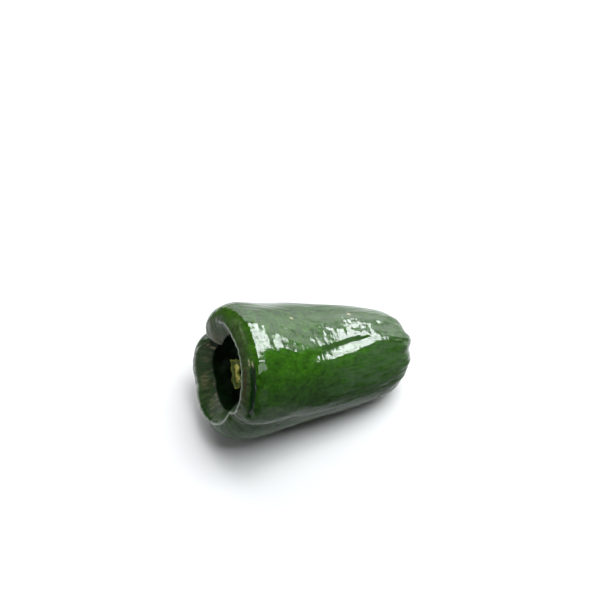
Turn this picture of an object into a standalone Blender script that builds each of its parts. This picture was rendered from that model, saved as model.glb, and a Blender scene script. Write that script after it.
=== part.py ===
"""A poblano pepper lying on its side: the pod with its sunken crown, the calyx and the cut stem.

Lengths are in metres, or in millimetres where a comment says so. Each piece is turned about its own
axis, +X, which runs from the crown, where the rim is near x = 0, to the tip. A place round that axis is
an angle, 0 at the top and growing towards -Y. An empty lays the pieces down, with +Z up.
"""

import math
from dataclasses import dataclass

import bmesh
import bpy
from mathutils import Matrix, Vector

MM = 0.001
MERGE_DISTANCE = 0.001 * MM
SHARP_ANGLE = math.radians(40)

# The gap between two pieces that stand on each other, in millimetres.
GAP = 0.3

# How the pepper lies: its axis slopes down to the tip, and the underside is a little flat.
LIE_ANGLE = math.radians(11.3)
GROUND_FLAT = 0.7 * MM

# The pod, in millimetres.
POD_LENGTH = 108.0
SHOULDER_RADIUS = 36.6
RIM_RADIUS = 26.6
CAVITY_DEPTH = 28.5
FLOOR_RADIUS = 9.5
THROAT_RADIUS = 20.1
POD_STEP = 3.0
POD_COLUMNS = 84

# Half outline of the pod, as (x, radius) in millimetres, from the hollow's middle over the rim to the tip.
POD_OUTLINE = (
    (CAVITY_DEPTH, 0), (CAVITY_DEPTH, FLOOR_RADIUS), (27.3, 14.0), (24.5, 17.8), (19.5, 20.6),
    (13.5, 21.4), (8.2, THROAT_RADIUS), (4.6, 22.1), (1.6, 24.3), (0, RIM_RADIUS), (1.4, 30.0),
    (3.3, 32.6), (5.9, 34.7), (9.5, 36.0), (14, 36.6), (19, SHOULDER_RADIUS), (32, 34.0),
    (50, 30.3), (71, 26.8), (86, 24.0), (95, 21.3), (101.1, 17.3), (105.1, 11.7),
    (106.8, 6.4), (107.2, 3.4), (107.8, 1.4), (POD_LENGTH, 0),
)

# The rim leans back on the near side, and its small top lobe stands forward and swells inwards.
# Lengths in millimetres and angles in degrees. The bulge is a share of the radius.
RIM_REACH = 16.0
RIM_SETBACK = 2.6
RIM_LEAN = 4.4
RIM_LEAN_TOWARD = 14
TOP_LOBE_SETBACK = -1.0
TOP_LOBE_ANGLE = -70
TOP_LOBE_WIDTH = 20
TOP_LOBE_BULGE = 0.21

# The calyx, in millimetres. A tooth reaches out by a share of the radius.
CALYX_RADIUS = 10.4
CALYX_THICKNESS = 1.8
CALYX_EDGE_LIFT = 0.6
CALYX_EDGE_DROP = 0.4
CALYX_TEETH = 5
TOOTH_SHARE = 0.2
TOOTH_MIDDLE = 0.4
CALYX_STEP = 1.6
CALYX_COLUMNS = 60

# The stem, in millimetres. Its ribs are shares of the radius, and deeper where it widens to the cut.
STEM_END = 12.7
STEM_END_RADIUS = 7.6
STEM_WAIST_RADIUS = 5.6
STEM_FOOT_RADIUS = 6.6
STEM_FLARE = 6
PITH_RADIUS = 4.0
PITH_DEPTH = 0.7
STEM_RIBS = 5
RIB_SHARE = 0.06
END_RIB_SHARE = 0.04
TORN_HEIGHT = 0.5
STEM_STEP = 1.5
STEM_COLUMNS = 50

POD_GREEN = (0.035, 0.11, 0.022, 1)
CALYX_GREEN = (0.07, 0.14, 0.03, 1)
STEM_GREEN = (0.30, 0.33, 0.09, 1)
POD_ROUGHNESS = 0.25
CALYX_ROUGHNESS = 0.5
STEM_ROUGHNESS = 0.7


def smooth_step(value: float, low: float, high: float) -> float:
    """Return 0 below low, 1 above high and a smooth rise between them."""
    share = min(max((value - low) / (high - low), 0), 1)
    return share * share * (3 - 2 * share)


def bell(value: float, width: float) -> float:
    """Return 1 at 0 and a smooth fall on both sides of it, to about a third at the width."""
    return math.exp(-((value / width) ** 2))


def degrees_apart(angle: float, centre: float) -> float:
    """Return the signed turn from a centre in degrees to an angle in radians, from -180 to 180."""
    return math.remainder(math.degrees(angle) - centre, 360)


@dataclass(frozen=True)
class Furrow:
    """A crease between two lobes, from the rim along the pod's side.

    Angles, widths and the rounding of its floor are in degrees and lengths in millimetres. The depths
    outside and inside the rim are shares of the radius, and the dip sets the rim back.
    """

    angle: float
    drift: float
    depth: float
    inner_depth: float
    dip: float
    width_before: float
    width_after: float
    length: float
    tip_share: float
    rounding: float = 4.0

    def valley(self, x: float, angle: float) -> float:
        """Return how near a place is to the crease, from 0, far off, to 1, in it."""
        off = degrees_apart(angle, self.angle + self.drift * x / POD_LENGTH)
        width = self.width_before if off < 0 else self.width_after
        return math.exp((self.rounding - math.hypot(off, self.rounding)) / width)

    def share(self, x: float) -> float:
        """Return the share of its full depth that the crease has at x."""
        return bell(x, self.length) + self.tip_share * smooth_step(x, 0.8 * POD_LENGTH, POD_LENGTH)


FURROWS = (
    Furrow(
        angle=-91, drift=8, depth=0.14, inner_depth=-0.12, dip=5.5,
        width_before=5, width_after=9, length=48, tip_share=0.7,
    ),
    Furrow(
        angle=-38, drift=12, depth=0.035, inner_depth=0, dip=1.2,
        width_before=13, width_after=14, length=36, tip_share=0.6, rounding=12.0,
    ),
    Furrow(
        angle=107, drift=-3, depth=0.22, inner_depth=0.22, dip=1.5,
        width_before=11, width_after=24, length=42, tip_share=0.4,
    ),
    Furrow(
        angle=212, drift=4, depth=0.03, inner_depth=0.08, dip=1.2,
        width_before=13, width_after=12, length=60, tip_share=0.9,
    ),
)


@dataclass(frozen=True)
class Swell:
    """A low wave over the pod: its height as a share of the radius, and its turns round and along."""

    height: float
    around: int
    along: float
    phase: float

    def at(self, x: float, angle: float) -> float:
        """Return the wave's height at a place on the pod."""
        turns = self.around * angle + math.tau * self.along * x / POD_LENGTH
        return self.height * math.sin(turns + self.phase)


SWELLS = (
    Swell(0.010, around=2, along=0.6, phase=0.4),
    Swell(0.008, around=3, along=-1.3, phase=1.9),
    Swell(0.005, around=5, along=2.2, phase=4.1),
)


@dataclass(frozen=True)
class Mound:
    """A low swelling of the pod's side. Lengths are in millimetres, the angle and width in degrees."""

    height: float
    x: float
    angle: float
    length: float
    width: float

    def at(self, x: float, angle: float) -> float:
        """Return the swelling's height at a place on the pod."""
        off = degrees_apart(angle, self.angle)
        return self.height * bell(x - self.x, self.length) * bell(off, self.width)


MOUNDS = (
    Mound(1.40, x=94, angle=22, length=22, width=18),
    Mound(0.55, x=62, angle=43, length=16, width=11),
    Mound(-0.50, x=60, angle=15, length=14, width=24),
)


def top_lobe(angle: float) -> float:
    """Return how near an angle is to the middle of the small top lobe, from 0 to 1."""
    return bell(degrees_apart(angle, TOP_LOBE_ANGLE), TOP_LOBE_WIDTH)


def rim_setback(angle: float) -> float:
    """Return how far back from the crown the rim's crest lies at an angle, in millimetres."""
    lean = RIM_LEAN * math.cos(angle - math.radians(RIM_LEAN_TOWARD))
    return RIM_SETBACK + lean + TOP_LOBE_SETBACK * top_lobe(angle)


def shape_pod(x: float, radius: float, angle: float) -> tuple[float, float]:
    """Return the shaped x and radius of a point of the turned pod, all in millimetres."""
    near_rim = 1 - smooth_step(x, 0, RIM_REACH)
    in_hollow = radius < RIM_RADIUS and x <= CAVITY_DEPTH
    inside = smooth_step(RIM_RADIUS - radius, 0, RIM_RADIUS / 6) if in_hollow else 0
    shaped_x = x + near_rim * rim_setback(angle)
    scale = 1 + sum(swell.at(x, angle) for swell in SWELLS) - inside * TOP_LOBE_BULGE * top_lobe(angle)
    for furrow in FURROWS:
        valley = furrow.valley(x, angle)
        depth = furrow.depth + inside * (furrow.inner_depth - furrow.depth)
        shaped_x += furrow.dip * near_rim * valley
        scale -= depth * furrow.share(x) * valley
    raised = 0 if in_hollow else sum(mound.at(x, angle) for mound in MOUNDS)
    return shaped_x, radius * scale + raised * smooth_step(radius, 0, FLOOR_RADIUS)


def shape_calyx(x: float, radius: float, angle: float) -> tuple[float, float]:
    """Return the shaped x and radius of a point of the calyx, which has teeth and follows the hollow."""
    tooth = abs(math.cos(CALYX_TEETH * angle / 2)) - TOOTH_MIDDLE
    outer = smooth_step(radius, 0.6 * CALYX_RADIUS, CALYX_RADIUS)
    return shape_pod(x, radius * (1 + TOOTH_SHARE * tooth * outer), angle)


def shape_stem(x: float, radius: float, angle: float) -> tuple[float, float]:
    """Return the shaped x and radius of a point of the stem, which is ribbed and roughly cut."""
    rib = math.cos(STEM_RIBS * angle + 0.7) + 0.5 * math.sin(2 * angle + 1.1)
    end = 1 - smooth_step(x, STEM_END, STEM_END + STEM_FLARE)
    rind = smooth_step(radius, PITH_RADIUS, STEM_WAIST_RADIUS)
    torn = TORN_HEIGHT * (math.sin(7 * angle) + 0.8 * math.sin(3 * angle + 2))
    return x + end * rind * torn, radius * (1 + (RIB_SHARE + END_RIB_SHARE * end) * rib * rind)


def smooth_outline(points: tuple, step: float) -> list[tuple[float, float]]:
    """Return points about one step apart on a smooth curve through an outline's points."""
    corners = [Vector(point) for point in (points[0], *points, points[-1])]
    curve = []
    for before, start, end, after in zip(corners, corners[1:], corners[2:], corners[3:]):
        count = max(1, round((end - start).length / step))
        leave = (end - before) / 2
        arrive = (after - start) / 2
        for index in range(count):
            t = index / count
            from_start = start * (2 * t**3 - 3 * t**2 + 1) + leave * (t**3 - 2 * t**2 + t)
            to_end = end * (3 * t**2 - 2 * t**3) + arrive * (t**3 - t**2)
            curve.append(from_start + to_end)
    curve.append(corners[-1])
    return [tuple(point) for point in curve]


def turn_outline(outline: list, columns: int, shape) -> bmesh.types.BMesh:
    """Spin a half outline about +X into a closed body, and move each point to its shaped place."""
    body = bmesh.new()
    verts = [body.verts.new((x * MM, 0, radius * MM)) for x, radius in outline]
    edges = [body.edges.new(pair) for pair in zip(verts, verts[1:])]
    bmesh.ops.spin(
        body, geom=verts + edges, cent=(0, 0, 0), axis=(1, 0, 0),
        angle=math.tau, steps=columns, use_merge=True,
    )
    bmesh.ops.remove_doubles(body, verts=body.verts, dist=MERGE_DISTANCE)
    for vert in body.verts:
        x, y, z = vert.co / MM
        angle = math.atan2(-y, z)
        shaped_x, radius = shape(x, math.hypot(y, z), angle)
        vert.co = Vector((shaped_x, -radius * math.sin(angle), radius * math.cos(angle))) * MM
    bmesh.ops.recalc_face_normals(body, faces=body.faces)
    return body


def build_pod() -> bmesh.types.BMesh:
    """Return the pod: its hollow, lobed rim, tapering side and blunt tip in one closed body."""
    return turn_outline(smooth_outline(POD_OUTLINE, POD_STEP), POD_COLUMNS, shape_pod)


def build_calyx() -> bmesh.types.BMesh:
    """Return the calyx: a thin dished cap on the hollow's floor, with blunt teeth."""
    under = CAVITY_DEPTH - GAP
    face = under - CALYX_THICKNESS
    outline = (
        (under, 0), (under, 0.5 * CALYX_RADIUS), (under - 0.1, 0.8 * CALYX_RADIUS),
        (under - CALYX_EDGE_LIFT, 0.95 * CALYX_RADIUS), (face + CALYX_EDGE_DROP, CALYX_RADIUS),
        (face, 0.9 * CALYX_RADIUS), (face, 0.5 * CALYX_RADIUS), (face, 0),
    )
    return turn_outline(smooth_outline(outline, CALYX_STEP), CALYX_COLUMNS, shape_calyx)


def build_stem() -> bmesh.types.BMesh:
    """Return the stem: a short ribbed stub that widens to its cut end, with the pith set in."""
    foot = CAVITY_DEPTH - 2 * GAP - CALYX_THICKNESS
    pith = STEM_END + PITH_DEPTH
    side = (
        (foot, STEM_FOOT_RADIUS), (foot - 2, STEM_WAIST_RADIUS + 0.4), (foot - 5, STEM_WAIST_RADIUS),
        (STEM_END + 3, 0.9 * STEM_END_RADIUS), (STEM_END + 0.5, STEM_END_RADIUS),
    )
    cut = (
        (STEM_END, STEM_END_RADIUS - 0.8), (STEM_END + 0.1, PITH_RADIUS + 1), (pith, PITH_RADIUS),
        (pith, PITH_RADIUS / 2), (pith, 0),
    )
    outline = [(foot, 0), (foot, STEM_FOOT_RADIUS / 2), *smooth_outline(side, STEM_STEP), *cut]
    return turn_outline(outline, STEM_COLUMNS, shape_stem)


def flatten_underside(pod: bmesh.types.BMesh, lie: Matrix) -> float:
    """Cut the pod's underside flat where it rests, and return the cut's height before it is lowered."""
    ground = min((lie @ vert.co).z for vert in pod.verts) + GROUND_FLAT
    back = lie.inverted()
    bmesh.ops.bisect_plane(
        pod, geom=[*pod.verts, *pod.edges, *pod.faces], plane_co=back @ Vector((0, 0, ground)),
        plane_no=back @ Vector((0, 0, -1)), clear_outer=True, dist=MERGE_DISTANCE,
    )
    bmesh.ops.holes_fill(pod, edges=[edge for edge in pod.edges if edge.is_boundary], sides=0)
    return ground


def make_material(name: str, color: tuple, roughness: float) -> bpy.types.Material:
    """Return a plain Principled material."""
    material = bpy.data.materials.new(name)
    material.use_nodes = True
    surface = material.node_tree.nodes["Principled BSDF"]
    surface.inputs["Base Color"].default_value = color
    surface.inputs["Roughness"].default_value = roughness
    surface.inputs["Metallic"].default_value = 0
    return material


def add_piece(
    name: str, body: bmesh.types.BMesh, material: bpy.types.Material, parent: bpy.types.Object
) -> None:
    """Make a named object of a finished body, smooth apart from its sharp edges."""
    mesh = bpy.data.meshes.new(name)
    body.to_mesh(mesh)
    body.free()
    mesh.shade_smooth()
    mesh.set_sharp_from_angle(angle=SHARP_ANGLE)
    mesh.materials.append(material)
    piece = bpy.data.objects.new(name, mesh)
    piece.parent = parent
    bpy.context.scene.collection.objects.link(piece)


def main() -> None:
    """Build the pepper and lay it on the ground, with its middle over the origin."""
    for old in list(bpy.data.objects):
        bpy.data.objects.remove(old, do_unlink=True)

    lie = Matrix.Rotation(LIE_ANGLE, 4, "Y")
    pod = build_pod()
    ground = flatten_underside(pod, lie)
    places = [lie @ vert.co for vert in pod.verts]
    middle = [(min(values) + max(values)) / 2 for values in zip(*places)]

    resting = bpy.data.objects.new("resting_pepper", None)
    resting.matrix_world = Matrix.Translation((-middle[0], -middle[1], -ground)) @ lie
    bpy.context.scene.collection.objects.link(resting)

    add_piece("pod", pod, make_material("pod_skin", POD_GREEN, POD_ROUGHNESS), resting)
    add_piece("calyx", build_calyx(), make_material("calyx_skin", CALYX_GREEN, CALYX_ROUGHNESS), resting)
    add_piece("stem", build_stem(), make_material("stem_cut", STEM_GREEN, STEM_ROUGHNESS), resting)


if __name__ == "__main__":
    main()
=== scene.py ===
"""The looks of a poblano pepper that lies on its side on a pale table.

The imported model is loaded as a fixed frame, and each part of the pepper is a class: the pod, the
calyx on its hollow's floor and the cut stem. Sizes are in millimetres along the pepper's own axis,
which runs from the crown's rim, near 0, to the tip. A place round that axis is an angle, 0 at the
top and growing towards -Y. Every finished mesh is in metres, in the frame's coordinates.
"""

import logging
import math
from collections.abc import Callable, Iterable, Iterator, Sequence
from dataclasses import dataclass
from enum import Enum, StrEnum
from functools import reduce
from typing import NamedTuple

import bmesh
import bpy
from mathutils import Matrix, Vector, noise


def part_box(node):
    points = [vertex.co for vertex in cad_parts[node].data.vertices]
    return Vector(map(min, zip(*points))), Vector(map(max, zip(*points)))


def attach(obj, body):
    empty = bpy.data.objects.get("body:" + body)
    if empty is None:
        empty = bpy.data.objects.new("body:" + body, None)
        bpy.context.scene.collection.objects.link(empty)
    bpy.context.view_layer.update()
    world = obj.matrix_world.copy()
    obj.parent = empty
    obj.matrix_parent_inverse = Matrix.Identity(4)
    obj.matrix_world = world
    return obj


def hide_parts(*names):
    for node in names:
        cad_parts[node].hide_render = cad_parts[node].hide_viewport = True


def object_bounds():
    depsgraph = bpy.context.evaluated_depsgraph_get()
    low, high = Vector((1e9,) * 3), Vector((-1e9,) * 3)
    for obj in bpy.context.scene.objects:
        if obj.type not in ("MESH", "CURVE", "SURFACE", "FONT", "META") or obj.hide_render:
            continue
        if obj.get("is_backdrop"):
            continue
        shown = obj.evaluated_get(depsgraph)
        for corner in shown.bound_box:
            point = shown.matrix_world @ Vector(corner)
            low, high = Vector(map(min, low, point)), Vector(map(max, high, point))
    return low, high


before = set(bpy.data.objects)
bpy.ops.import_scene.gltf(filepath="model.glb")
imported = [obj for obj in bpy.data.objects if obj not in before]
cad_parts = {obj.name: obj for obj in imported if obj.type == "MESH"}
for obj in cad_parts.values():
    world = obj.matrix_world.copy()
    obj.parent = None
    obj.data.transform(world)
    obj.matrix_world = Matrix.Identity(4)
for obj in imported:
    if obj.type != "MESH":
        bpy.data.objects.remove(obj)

MM = 0.001
PHOTO_PIXELS = 600
BODY = "root"
TYPICAL_RADIUS = 30.0

log = logging.getLogger("pepper")

Triple = tuple[float, float, float]
Color = Triple
Point = tuple[float, float]
Span = tuple[float, float]
Socket = bpy.types.NodeSocket
Mesh = bmesh.types.BMesh
Tree = bpy.types.NodeTree
Material = bpy.types.Material


def smooth_step(value: float, low: float, high: float) -> float:
    """Give a smooth rise from 0 at low to 1 at high.

    Args:
        value: the number to place between low and high.
        low: where the rise starts.
        high: where the rise ends, above low.

    Returns:
        A share from 0 to 1.
    """
    share = min(max((value - low) / (high - low), 0.0), 1.0)
    return share * share * (3 - 2 * share)


def bell(value: float, centre: float, width: float) -> float:
    """Give a bell-shaped share, 1 at the centre and about a third at one width from it.

    Args:
        value: the place to read.
        centre: where the bell is highest.
        width: the bell's half width.

    Returns:
        A share from 0 to 1.
    """
    return math.exp(-(((value - centre) / width) ** 2))


def degrees_apart(angle: float, centre: float) -> float:
    """Give the signed turn from a centre to an angle.

    Args:
        angle: the angle, in radians.
        centre: the centre, in degrees.

    Returns:
        The turn in degrees, from -180 to 180.
    """
    return math.remainder(math.degrees(angle) - centre, 360)


def bell_round(angle: float, centre: float, width: float) -> float:
    """Give the bell-shaped share of an angle around the axis.

    Args:
        angle: the angle, in radians.
        centre: where the bell is highest, in degrees.
        width: the bell's half width, in degrees.

    Returns:
        A share from 0 to 1.
    """
    return bell(degrees_apart(angle, centre), 0, width)


def smooth_outline(points: Sequence[Point], step: float) -> list[Point]:
    """Draw a smooth curve through an outline's points.

    Args:
        points: the outline's points, in order.
        step: the distance to keep between the curve's points.

    Returns:
        The curve's points, about one step apart.
    """
    corners = [Vector(point) for point in (points[0], *points, points[-1])]
    curve = []
    for before, start, end, after in zip(corners, corners[1:], corners[2:], corners[3:]):
        count = max(1, round((end - start).length / step))
        leave, arrive = (end - before) / 2, (after - start) / 2
        for index in range(count):
            t = index / count
            hold = start * (2 * t**3 - 3 * t**2 + 1) + end * (3 * t**2 - 2 * t**3)
            curve.append(hold + leave * (t**3 - 2 * t**2 + t) + arrive * (t**3 - t**2))
    curve.append(corners[-1])
    return [tuple(point) for point in curve]


class Spot(NamedTuple):
    """A point of a turned body: its place along the axis, radius, angle in radians and way.

    The way is measured along the outline, from the rim's crest. All lengths are in millimetres.
    """

    x: float
    radius: float
    angle: float
    way: float


@dataclass(frozen=True)
class Furrow:
    """A crease between two lobes, from the rim along the pod's side.

    Angles and widths are in degrees and lengths in millimetres. Depths are shares of the radius.
    """

    angle: float
    drift: float
    depth: float
    inner_depth: float
    dip: float
    width_before: float
    width_after: float
    length: float
    tip_share: float
    rounding: float = 4.0

    def valley(self, along: float, angle: float) -> float:
        """Tell how near a place is to the crease.

        Args:
            along: the share of the pod's length, from 0 at the rim to 1 at the tip.
            angle: the angle round the axis, in radians.

        Returns:
            A share from 0, far off, to 1, in the crease.
        """
        off = degrees_apart(angle, self.angle + self.drift * along)
        width = self.width_before if off < 0 else self.width_after
        return math.exp((self.rounding - math.hypot(off, self.rounding)) / width)

    def share(self, x: float, pod_length: float) -> float:
        """Tell how much of its full depth the crease has at a place along the axis."""
        return bell(x, 0, self.length) + self.tip_share * smooth_step(x, 0.8 * pod_length, pod_length)


@dataclass(frozen=True)
class Swell:
    """A low wave over the pod: its height as a share of the radius, and its turns round and along."""

    height: float
    around: int
    along: float
    phase: float

    def at(self, along: float, angle: float) -> float:
        """Give the wave's height at a share of the pod's length and an angle in radians."""
        return self.height * math.sin(self.around * angle + math.tau * self.along * along + self.phase)


@dataclass(frozen=True)
class Ripple:
    """Random low waves in the skin, drawn out along the pod.

    The height and the waves' sizes along and round the pod are in millimetres, and the twist is in
    degrees for each millimetre along it.
    """

    height: float
    along: float
    around: float
    seed: float
    twist: float = 0.0

    def at(self, x: float, angle: float, radius: float = TYPICAL_RADIUS) -> float:
        """Give the ripple's height.

        Args:
            x: the place along the axis, in millimetres.
            angle: the angle round the axis, in radians.
            radius: a typical radius of the piece, in millimetres.

        Returns:
            The height in millimetres, above or below the plain surface.
        """
        turn = radius / self.around
        angle += math.radians(self.twist) * x
        place = Vector((x / self.along + self.seed, turn * math.cos(angle), turn * math.sin(angle)))
        return self.height * noise.noise(place)


@dataclass(frozen=True)
class Mound:
    """A low swelling of the skin, or a hollow or groove where its height is negative.

    The height, place and half length are in millimetres, the angle and half width in degrees, and
    the drift in degrees for each millimetre along the pod.
    """

    height: float
    x: float
    angle: float
    length: float
    width: float
    drift: float = 0.0

    def at(self, x: float, angle: float) -> float:
        """Give the swelling's height at a place along the axis and an angle in radians."""
        centre = self.angle + self.drift * (x - self.x)
        return self.height * bell(x, self.x, self.length) * bell_round(angle, centre, self.width)


@dataclass(frozen=True)
class Channel:
    """A shallow channel that runs round the pod beside its rim.

    The depth, the way from the rim's crest, the half width and how far the dark edges stand in and
    out are in millimetres. The middle angle, the half length and the ends' fade are in degrees. The
    taper is the share of the width lost, over two angles from the middle, at the lower end.
    """

    depth: float
    way: float
    width: float
    taper: float
    angle: float
    reach: float
    fade: float = 6.0
    taper_over: Span = (-8.0, 22.0)
    dark_edge: Span = (-0.5, 0.3)

    def share(self, spot: Spot) -> float:
        """Tell how far into the channel a place is, from 0, outside, to 1, on its floor."""
        return bell(spot.way, self.way, self.half_width(spot.angle)) * self.ends(spot.angle)

    def shade(self, spot: Spot) -> float:
        """Tell how much painted shade darkens the channel at a place, from 0 to 1, with crisp edges."""
        low, high = (self.half_width(spot.angle) + edge for edge in self.dark_edge)
        return (1 - smooth_step(abs(spot.way - self.way), low, high)) * self.ends(spot.angle)

    def half_width(self, angle: float) -> float:
        """Give half the channel's width at an angle, in millimetres."""
        return self.width * (1 - self.taper * smooth_step(degrees_apart(angle, self.angle), *self.taper_over))

    def ends(self, angle: float) -> float:
        """Tell how far within the channel's two ends an angle is, from 0 to 1."""
        return 1 - smooth_step(abs(degrees_apart(angle, self.angle)), self.reach - self.fade, self.reach)


@dataclass(frozen=True)
class Fleck:
    """A small mark on the skin: its way from the crest, angle, half length and half width."""

    way: float
    angle: float
    length: float
    width: float

    def share(self, spot: Spot) -> float:
        """Tell how much of the mark there is at a place, from 0 to 1."""
        across = math.radians(degrees_apart(spot.angle, self.angle)) * spot.radius
        return bell(math.hypot((spot.way - self.way) / self.length, across / self.width), 0, 1)


@dataclass(frozen=True)
class Patch:
    """A soft-edged tint on the pod. A call with a place gives its share there.

    The middle angle and the half width are in degrees. The tint fades in and out between ways from
    the rim's crest along the outline, in millimetres.
    """

    angle: float
    width: float
    fade_in: Span
    fade_out: Span

    def __call__(self, spot: Spot) -> float:
        """Tell how much of the tint there is at a place, from 0 to 1."""
        along = smooth_step(spot.way, *self.fade_in) * (1 - smooth_step(spot.way, *self.fade_out))
        return along * bell_round(spot.angle, self.angle, self.width)


@dataclass(frozen=True)
class Lie:
    """How the pepper lies: its slope and where the middle of its crown is, in metres."""

    slope: float
    crown: Vector

    @property
    def matrix(self) -> Matrix:
        """The way from millimetres on the pepper's axis to metres in the frame."""
        turn = Matrix.Rotation(self.slope, 4, "Y")
        return Matrix.Translation(self.crown) @ turn @ Matrix.Scale(MM, 4)


class TurnedBody:
    """A closed body spun from a half outline, with each point's way along the outline kept on it."""

    WAY = "past_rim"

    def __init__(self, outline: Sequence[Point], crest: int, columns: int) -> None:
        """Spin the outline about +X.

        Args:
            outline: the half outline as (x, radius) points, in millimetres.
            crest: the index of the outline's point from which the way along it is measured.
            columns: how many columns of faces go round the axis.
        """
        self.mesh = bmesh.new()
        way = self.mesh.verts.layers.float.new(self.WAY)
        steps = [math.dist(a, b) for a, b in zip(outline, outline[1:])]
        verts = []
        for index, (x, radius) in enumerate(outline):
            verts.append(self.mesh.verts.new((x, 0, radius)))
            verts[-1][way] = sum(steps[:index]) - sum(steps[:crest])
        edges = [self.mesh.edges.new(pair) for pair in zip(verts, verts[1:])]
        bmesh.ops.spin(
            self.mesh, geom=verts + edges, cent=(0, 0, 0), axis=(1, 0, 0), angle=math.tau,
            steps=columns, use_merge=True,
        )
        bmesh.ops.remove_doubles(self.mesh, verts=self.mesh.verts, dist=0.001)

    def spots(self) -> Iterator[tuple[bmesh.types.BMVert, Spot]]:
        """Read the mesh's points.

        Returns:
            Each point with its place.
        """
        way = self.mesh.verts.layers.float[self.WAY]
        for vert in self.mesh.verts:
            x, y, z = vert.co
            yield vert, Spot(x, math.hypot(y, z), math.atan2(-y, z), vert[way])

    def shape(self, place: Callable[[Spot], Point]) -> None:
        """Move each point to its shaped place.

        Args:
            place: gives the shaped x and radius of a point.
        """
        for vert, spot in self.spots():
            x, radius = place(spot)
            vert.co = (x, -radius * math.sin(spot.angle), radius * math.cos(spot.angle))
        bmesh.ops.recalc_face_normals(self.mesh, faces=self.mesh.faces)

    def paint(self, name: str, share: Callable[[Spot], float]) -> None:
        """Keep a number on each point for the material to read.

        Args:
            name: the number's name.
            share: gives the number of a point.
        """
        layer = self.mesh.verts.layers.float.new(name)
        for vert, spot in self.spots():
            vert[layer] = share(spot)

    def ripple(self, height: Callable[[Spot], float]) -> None:
        """Push each point out or in along its normal.

        Args:
            height: gives the push of a point, in millimetres.
        """
        self.mesh.normal_update()
        moved = [vert.co + vert.normal * height(spot) for vert, spot in self.spots()]
        for vert, place in zip(self.mesh.verts, moved):
            vert.co = place

    def lay(self, lie: Lie) -> Mesh:
        """Lay the finished body in the frame, in metres, and give its mesh."""
        bmesh.ops.transform(self.mesh, matrix=lie.matrix, verts=self.mesh.verts)
        return self.mesh


def new_object(name: str, data: bpy.types.ID) -> bpy.types.Object:
    """Make an object and put it in the scene.

    Args:
        name: the object's name.
        data: its mesh, light or camera.

    Returns:
        The new object.
    """
    made = bpy.data.objects.new(name, data)
    bpy.context.scene.collection.objects.link(made)
    return made


def new_solid(name: str, body: Mesh, material: Material) -> bpy.types.Object:
    """Make an object of a finished mesh.

    Args:
        name: the object's name.
        body: its mesh, in metres and in place.
        material: its finish.

    Returns:
        The new object.
    """
    mesh = bpy.data.meshes.new(name)
    body.to_mesh(mesh)
    body.free()
    mesh.materials.append(material)
    return new_object(name, mesh)


def add_piece(name: str, body: Mesh, material: Material, node: str) -> None:
    """Make a finished piece that stands for a node of the frame.

    Args:
        name: the piece's name.
        body: the piece's mesh, in metres and in place.
        material: its finish.
        node: the node that it stands for.
    """
    piece = new_solid(name, body, material)
    piece.data.shade_smooth()
    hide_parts(node)
    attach(piece, BODY)
    log.info("%s: %d vertices, %d faces", name, len(piece.data.vertices), len(piece.data.polygons))


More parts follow.
